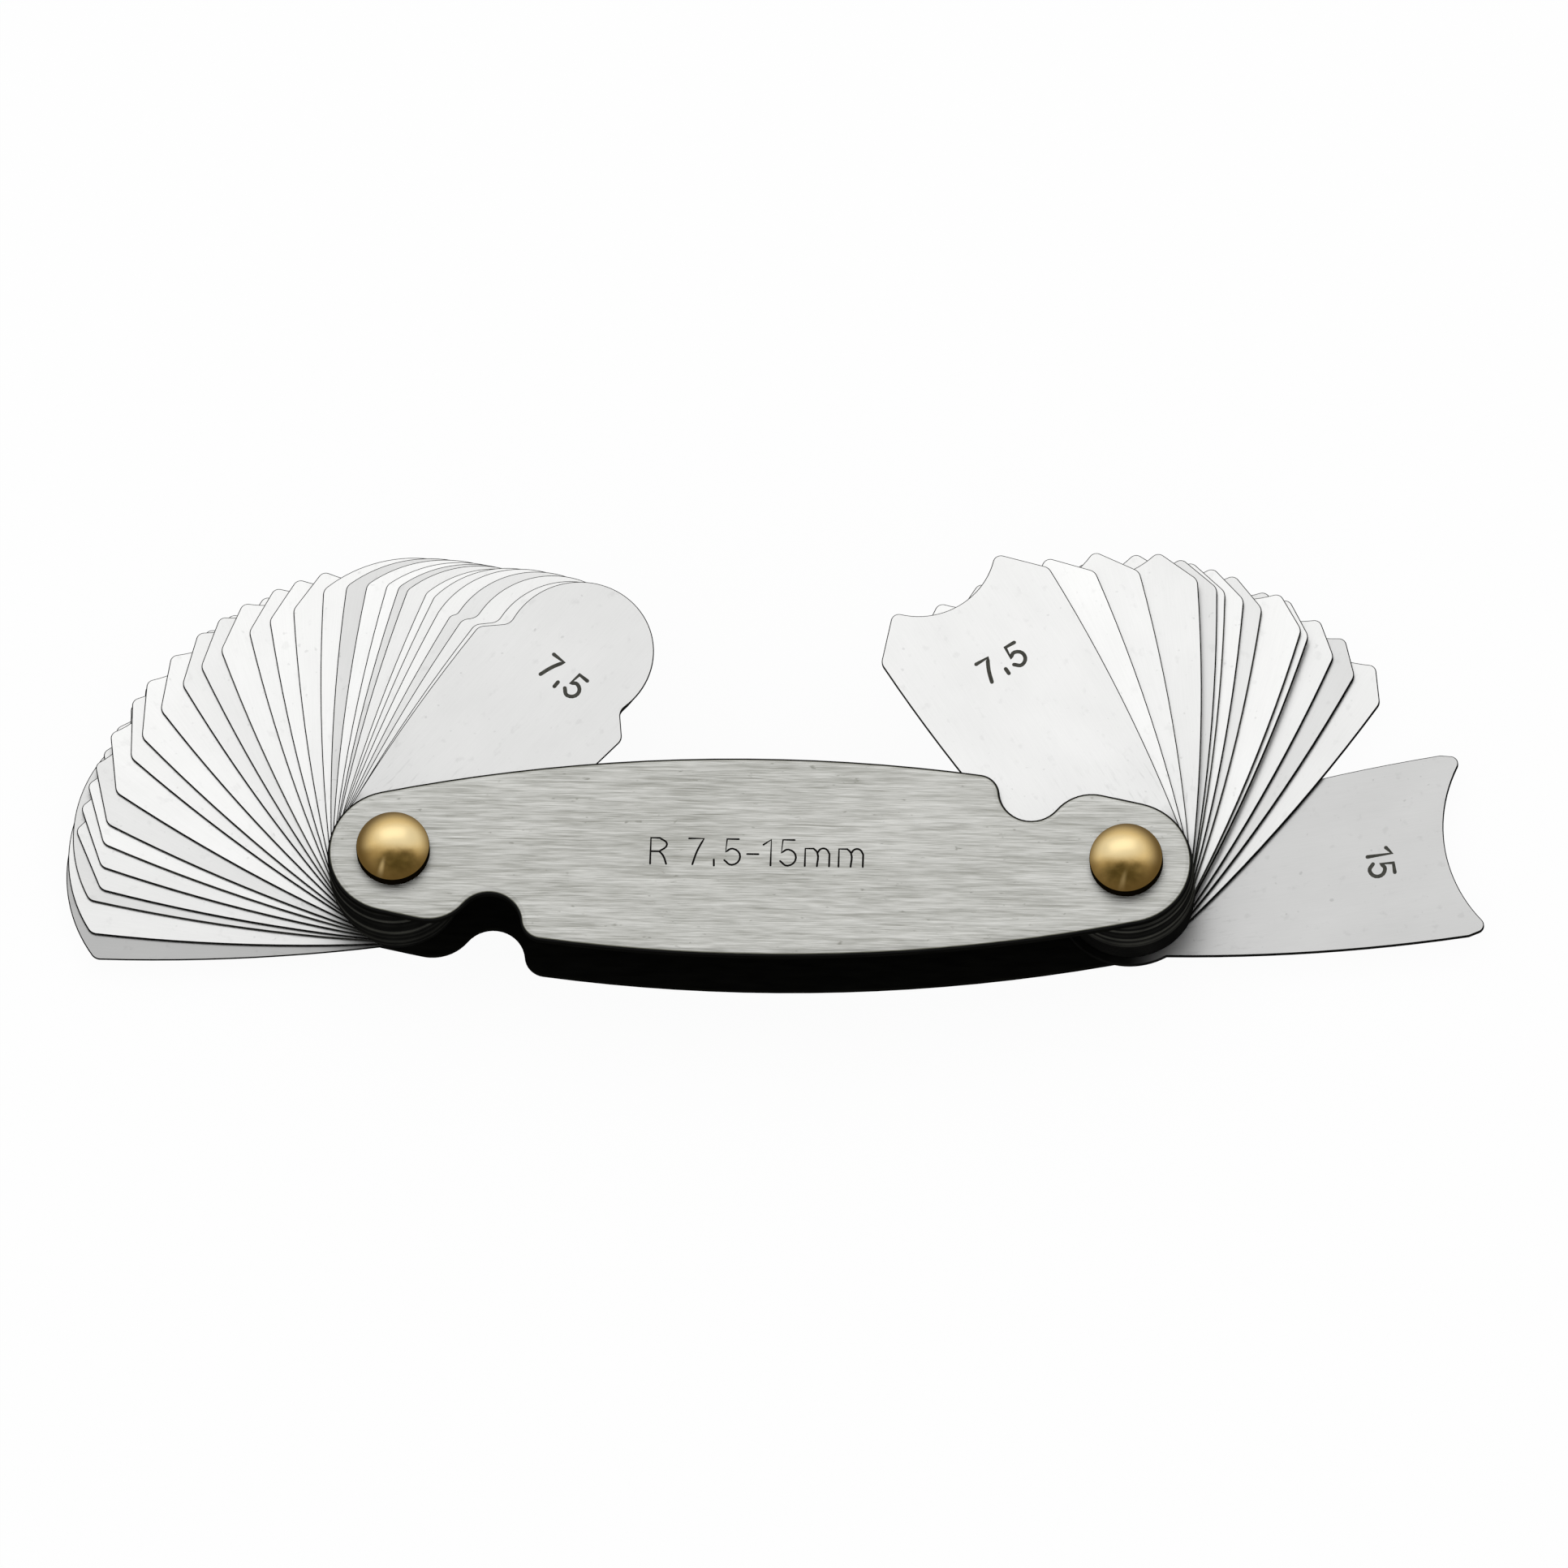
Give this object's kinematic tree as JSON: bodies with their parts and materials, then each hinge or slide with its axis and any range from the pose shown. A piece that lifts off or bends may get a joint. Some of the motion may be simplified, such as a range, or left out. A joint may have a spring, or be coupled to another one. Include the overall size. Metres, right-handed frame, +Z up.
{
  "type": "radius gauge",
  "caption": "Folding radius gauge: thin steel leaves with convex and concave tips fan out on two brass rivets from between the two plates of a steel holder.",
  "frame": {"origin": "centre of the left rivet's flat rear crown, on the surface that the gauge lies on", "axes": "+X along the holder from the left rivet to the right rivet, +Y to the side on which the leaves stand open, +Z up out of the front plate"},
  "size_m": [0.1413, 0.0445, 0.0143],
  "materials": {
    "plates": "brushed",
    "left_leaves": "satin",
    "right_leaves": "satin",
    "rivets": "satin"
  },
  "bodies": {
    "holder": {"front_plate": "plates", "rear_plate": "plates", "left_rivet": "rivets", "right_rivet": "rivets"},
    "left_leaf_01_convex_7_5": {"left_leaf_01_convex_7_5": "left_leaves"},
    "left_leaf_02_convex_8": {"left_leaf_02_convex_8": "left_leaves"},
    "left_leaf_03_convex_8_5": {"left_leaf_03_convex_8_5": "left_leaves"},
    "left_leaf_04_convex_9": {"left_leaf_04_convex_9": "left_leaves"},
    "left_leaf_05_convex_9_5": {"left_leaf_05_convex_9_5": "left_leaves"},
    "left_leaf_06_convex_10": {"left_leaf_06_convex_10": "left_leaves"},
    "left_leaf_07_convex_10_5": {"left_leaf_07_convex_10_5": "left_leaves"},
    "left_leaf_08_convex_11": {"left_leaf_08_convex_11": "left_leaves"},
    "left_leaf_09_convex_11_5": {"left_leaf_09_convex_11_5": "left_leaves"},
    "left_leaf_10_convex_12": {"left_leaf_10_convex_12": "left_leaves"},
    "left_leaf_11_convex_12_5": {"left_leaf_11_convex_12_5": "left_leaves"},
    "left_leaf_12_convex_13": {"left_leaf_12_convex_13": "left_leaves"},
    "left_leaf_13_convex_13_5": {"left_leaf_13_convex_13_5": "left_leaves"},
    "left_leaf_14_concave_14": {"left_leaf_14_concave_14": "left_leaves"},
    "left_leaf_15_concave_13_5": {"left_leaf_15_concave_13_5": "left_leaves"},
    "left_leaf_16_concave_13": {"left_leaf_16_concave_13": "left_leaves"},
    "left_leaf_17_concave_12_5": {"left_leaf_17_concave_12_5": "left_leaves"},
    "left_leaf_18_concave_12": {"left_leaf_18_concave_12": "left_leaves"},
    "left_leaf_19_concave_11_5": {"left_leaf_19_concave_11_5": "left_leaves"},
    "left_leaf_20_concave_11": {"left_leaf_20_concave_11": "left_leaves"},
    "left_leaf_21_concave_10_5": {"left_leaf_21_concave_10_5": "left_leaves"},
    "left_leaf_22_concave_10": {"left_leaf_22_concave_10": "left_leaves"},
    "left_leaf_23_concave_9_5": {"left_leaf_23_concave_9_5": "left_leaves"},
    "left_leaf_24_concave_9": {"left_leaf_24_concave_9": "left_leaves"},
    "left_leaf_25_concave_8_5": {"left_leaf_25_concave_8_5": "left_leaves"},
    "left_leaf_26_concave_8": {"left_leaf_26_concave_8": "left_leaves"},
    "left_leaf_27_concave_7_5": {"left_leaf_27_concave_7_5": "left_leaves"},
    "left_leaf_28_convex_14": {"left_leaf_28_convex_14": "left_leaves"},
    "left_leaf_29_convex_14_5": {"left_leaf_29_convex_14_5": "left_leaves"},
    "left_leaf_30_convex_15": {"left_leaf_30_convex_15": "left_leaves"},
    "right_leaf_01_concave_7_5": {"right_leaf_01_concave_7_5": "right_leaves"},
    "right_leaf_02_concave_8": {"right_leaf_02_concave_8": "right_leaves"},
    "right_leaf_03_concave_8_5": {"right_leaf_03_concave_8_5": "right_leaves"},
    "right_leaf_04_concave_9": {"right_leaf_04_concave_9": "right_leaves"},
    "right_leaf_05_concave_9_5": {"right_leaf_05_concave_9_5": "right_leaves"},
    "right_leaf_06_concave_10": {"right_leaf_06_concave_10": "right_leaves"},
    "right_leaf_07_concave_10_5": {"right_leaf_07_concave_10_5": "right_leaves"},
    "right_leaf_08_concave_11": {"right_leaf_08_concave_11": "right_leaves"},
    "right_leaf_09_concave_11_5": {"right_leaf_09_concave_11_5": "right_leaves"},
    "right_leaf_10_concave_12": {"right_leaf_10_concave_12": "right_leaves"},
    "right_leaf_11_concave_12_5": {"right_leaf_11_concave_12_5": "right_leaves"},
    "right_leaf_12_concave_13": {"right_leaf_12_concave_13": "right_leaves"},
    "right_leaf_13_concave_13_5": {"right_leaf_13_concave_13_5": "right_leaves"},
    "right_leaf_14_concave_14": {"right_leaf_14_concave_14": "right_leaves"},
    "right_leaf_15_concave_14_5": {"right_leaf_15_concave_14_5": "right_leaves"},
    "right_leaf_16_concave_15": {"right_leaf_16_concave_15": "right_leaves"}
  },
  "joints": [
    {"name": "left_leaf_01_convex_7_5_swing", "type": "hinge", "parent": "holder", "child": "left_leaf_01_convex_7_5", "pos_m": [0, 0, 0.0106], "axis": [0, 0, 1], "range_deg": [-51, 129]},
    {"name": "left_leaf_02_convex_8_swing", "type": "hinge", "parent": "holder", "child": "left_leaf_02_convex_8", "pos_m": [0, 0, 0.01031], "axis": [0, 0, 1], "range_deg": [-52.2, 127.8]},
    {"name": "left_leaf_03_convex_8_5_swing", "type": "hinge", "parent": "holder", "child": "left_leaf_03_convex_8_5", "pos_m": [0, 0, 0.01001], "axis": [0, 0, 1], "range_deg": [-55.5, 124.5]},
    {"name": "left_leaf_04_convex_9_swing", "type": "hinge", "parent": "holder", "child": "left_leaf_04_convex_9", "pos_m": [0, 0, 0.00972], "axis": [0, 0, 1], "range_deg": [-58.5, 121.5]},
    {"name": "left_leaf_05_convex_9_5_swing", "type": "hinge", "parent": "holder", "child": "left_leaf_05_convex_9_5", "pos_m": [0, 0, 0.00942], "axis": [0, 0, 1], "range_deg": [-61.5, 118.5]},
    {"name": "left_leaf_06_convex_10_swing", "type": "hinge", "parent": "holder", "child": "left_leaf_06_convex_10", "pos_m": [0, 0, 0.00913], "axis": [0, 0, 1], "range_deg": [-64, 116]},
    {"name": "left_leaf_07_convex_10_5_swing", "type": "hinge", "parent": "holder", "child": "left_leaf_07_convex_10_5", "pos_m": [0, 0, 0.00883], "axis": [0, 0, 1], "range_deg": [-66, 114]},
    {"name": "left_leaf_08_convex_11_swing", "type": "hinge", "parent": "holder", "child": "left_leaf_08_convex_11", "pos_m": [0, 0, 0.00854], "axis": [0, 0, 1], "range_deg": [-70, 110]},
    {"name": "left_leaf_09_convex_11_5_swing", "type": "hinge", "parent": "holder", "child": "left_leaf_09_convex_11_5", "pos_m": [0, 0, 0.00824], "axis": [0, 0, 1], "range_deg": [-72, 108]},
    {"name": "left_leaf_10_convex_12_swing", "type": "hinge", "parent": "holder", "child": "left_leaf_10_convex_12", "pos_m": [0, 0, 0.00795], "axis": [0, 0, 1], "range_deg": [-74.5, 105.5]},
    {"name": "left_leaf_11_convex_12_5_swing", "type": "hinge", "parent": "holder", "child": "left_leaf_11_convex_12_5", "pos_m": [0, 0, 0.00765], "axis": [0, 0, 1], "range_deg": [-78.5, 101.5]},
    {"name": "left_leaf_12_convex_13_swing", "type": "hinge", "parent": "holder", "child": "left_leaf_12_convex_13", "pos_m": [0, 0, 0.00736], "axis": [0, 0, 1], "range_deg": [-82.5, 97.5]},
    {"name": "left_leaf_13_convex_13_5_swing", "type": "hinge", "parent": "holder", "child": "left_leaf_13_convex_13_5", "pos_m": [0, 0, 0.00706], "axis": [0, 0, 1], "range_deg": [-87, 93]},
    {"name": "left_leaf_14_concave_14_swing", "type": "hinge", "parent": "holder", "child": "left_leaf_14_concave_14", "pos_m": [0, 0, 0.00677], "axis": [0, 0, 1], "range_deg": [-93, 87]},
    {"name": "left_leaf_15_concave_13_5_swing", "type": "hinge", "parent": "holder", "child": "left_leaf_15_concave_13_5", "pos_m": [0, 0, 0.00647], "axis": [0, 0, 1], "range_deg": [-98, 82]},
    {"name": "left_leaf_16_concave_13_swing", "type": "hinge", "parent": "holder", "child": "left_leaf_16_concave_13", "pos_m": [0, 0, 0.00618], "axis": [0, 0, 1], "range_deg": [-102.5, 77.5]},
    {"name": "left_leaf_17_concave_12_5_swing", "type": "hinge", "parent": "holder", "child": "left_leaf_17_concave_12_5", "pos_m": [0, 0, 0.00588], "axis": [0, 0, 1], "range_deg": [-109, 71]},
    {"name": "left_leaf_18_concave_12_swing", "type": "hinge", "parent": "holder", "child": "left_leaf_18_concave_12", "pos_m": [0, 0, 0.00559], "axis": [0, 0, 1], "range_deg": [-114, 66]},
    {"name": "left_leaf_19_concave_11_5_swing", "type": "hinge", "parent": "holder", "child": "left_leaf_19_concave_11_5", "pos_m": [0, 0, 0.00529], "axis": [0, 0, 1], "range_deg": [-119, 61]},
    {"name": "left_leaf_20_concave_11_swing", "type": "hinge", "parent": "holder", "child": "left_leaf_20_concave_11", "pos_m": [0, 0, 0.005], "axis": [0, 0, 1], "range_deg": [-125.5, 54.5]},
    {"name": "left_leaf_21_concave_10_5_swing", "type": "hinge", "parent": "holder", "child": "left_leaf_21_concave_10_5", "pos_m": [0, 0, 0.0047], "axis": [0, 0, 1], "range_deg": [-132, 48]},
    {"name": "left_leaf_22_concave_10_swing", "type": "hinge", "parent": "holder", "child": "left_leaf_22_concave_10", "pos_m": [0, 0, 0.00441], "axis": [0, 0, 1], "range_deg": [-136.5, 43.5]},
    {"name": "left_leaf_23_concave_9_5_swing", "type": "hinge", "parent": "holder", "child": "left_leaf_23_concave_9_5", "pos_m": [0, 0, 0.00411], "axis": [0, 0, 1], "range_deg": [-144, 36]},
    {"name": "left_leaf_24_concave_9_swing", "type": "hinge", "parent": "holder", "child": "left_leaf_24_concave_9", "pos_m": [0, 0, 0.00382], "axis": [0, 0, 1], "range_deg": [-150.5, 29.5]},
    {"name": "left_leaf_25_concave_8_5_swing", "type": "hinge", "parent": "holder", "child": "left_leaf_25_concave_8_5", "pos_m": [0, 0, 0.00352], "axis": [0, 0, 1], "range_deg": [-154.5, 25.5]},
    {"name": "left_leaf_26_concave_8_swing", "type": "hinge", "parent": "holder", "child": "left_leaf_26_concave_8", "pos_m": [0, 0, 0.00323], "axis": [0, 0, 1], "range_deg": [-159, 21]},
    {"name": "left_leaf_27_concave_7_5_swing", "type": "hinge", "parent": "holder", "child": "left_leaf_27_concave_7_5", "pos_m": [0, 0, 0.00293], "axis": [0, 0, 1], "range_deg": [-163.5, 16.5]},
    {"name": "left_leaf_28_convex_14_swing", "type": "hinge", "parent": "holder", "child": "left_leaf_28_convex_14", "pos_m": [0, 0, 0.00264], "axis": [0, 0, 1], "range_deg": [-166, 14]},
    {"name": "left_leaf_29_convex_14_5_swing", "type": "hinge", "parent": "holder", "child": "left_leaf_29_convex_14_5", "pos_m": [0, 0, 0.00234], "axis": [0, 0, 1], "range_deg": [-172.5, 7.5]},
    {"name": "left_leaf_30_convex_15_swing", "type": "hinge", "parent": "holder", "child": "left_leaf_30_convex_15", "pos_m": [0, 0, 0.00205], "axis": [0, 0, 1], "range_deg": [-177.5, 2.5]},
    {"name": "right_leaf_01_concave_7_5_swing", "type": "hinge", "parent": "holder", "child": "right_leaf_01_concave_7_5", "pos_m": [0.073, 0, 0.01047], "axis": [0, 0, -1], "range_deg": [-57.2, 122.8]},
    {"name": "right_leaf_02_concave_8_swing", "type": "hinge", "parent": "holder", "child": "right_leaf_02_concave_8", "pos_m": [0.073, 0, 0.00992], "axis": [0, 0, -1], "range_deg": [-64.6, 115.4]},
    {"name": "right_leaf_03_concave_8_5_swing", "type": "hinge", "parent": "holder", "child": "right_leaf_03_concave_8_5", "pos_m": [0.073, 0, 0.00937], "axis": [0, 0, -1], "range_deg": [-72.5, 107.5]},
    {"name": "right_leaf_04_concave_9_swing", "type": "hinge", "parent": "holder", "child": "right_leaf_04_concave_9", "pos_m": [0.073, 0, 0.00881], "axis": [0, 0, -1], "range_deg": [-83, 97]},
    {"name": "right_leaf_05_concave_9_5_swing", "type": "hinge", "parent": "holder", "child": "right_leaf_05_concave_9_5", "pos_m": [0.073, 0, 0.00826], "axis": [0, 0, -1], "range_deg": [-79, 101]},
    {"name": "right_leaf_06_concave_10_swing", "type": "hinge", "parent": "holder", "child": "right_leaf_06_concave_10", "pos_m": [0.073, 0, 0.00771], "axis": [0, 0, -1], "range_deg": [-86.5, 93.5]},
    {"name": "right_leaf_07_concave_10_5_swing", "type": "hinge", "parent": "holder", "child": "right_leaf_07_concave_10_5", "pos_m": [0.073, 0, 0.00715], "axis": [0, 0, -1], "range_deg": [-88, 92]},
    {"name": "right_leaf_08_concave_11_swing", "type": "hinge", "parent": "holder", "child": "right_leaf_08_concave_11", "pos_m": [0.073, 0, 0.0066], "axis": [0, 0, -1], "range_deg": [-91.5, 88.5]},
    {"name": "right_leaf_09_concave_11_5_swing", "type": "hinge", "parent": "holder", "child": "right_leaf_09_concave_11_5", "pos_m": [0.073, 0, 0.00605], "axis": [0, 0, -1], "range_deg": [-95, 85]},
    {"name": "right_leaf_10_concave_12_swing", "type": "hinge", "parent": "holder", "child": "right_leaf_10_concave_12", "pos_m": [0.073, 0, 0.00549], "axis": [0, 0, -1], "range_deg": [-103, 77]},
    {"name": "right_leaf_11_concave_12_5_swing", "type": "hinge", "parent": "holder", "child": "right_leaf_11_concave_12_5", "pos_m": [0.073, 0, 0.00494], "axis": [0, 0, -1], "range_deg": [-104.5, 75.5]},
    {"name": "right_leaf_12_concave_13_swing", "type": "hinge", "parent": "holder", "child": "right_leaf_12_concave_13", "pos_m": [0.073, 0, 0.00439], "axis": [0, 0, -1], "range_deg": [-100, 80]},
    {"name": "right_leaf_13_concave_13_5_swing", "type": "hinge", "parent": "holder", "child": "right_leaf_13_concave_13_5", "pos_m": [0.073, 0, 0.00384], "axis": [0, 0, -1], "range_deg": [-110, 70]},
    {"name": "right_leaf_14_concave_14_swing", "type": "hinge", "parent": "holder", "child": "right_leaf_14_concave_14", "pos_m": [0.073, 0, 0.00328], "axis": [0, 0, -1], "range_deg": [-115, 65]},
    {"name": "right_leaf_15_concave_14_5_swing", "type": "hinge", "parent": "holder", "child": "right_leaf_15_concave_14_5", "pos_m": [0.073, 0, 0.00273], "axis": [0, 0, -1], "range_deg": [-121.7, 58.3]},
    {"name": "right_leaf_16_concave_15_swing", "type": "hinge", "parent": "holder", "child": "right_leaf_16_concave_15", "pos_m": [0.073, 0, 0.00218], "axis": [0, 0, -1], "range_deg": [-169.6, 10.4]}
  ]
}
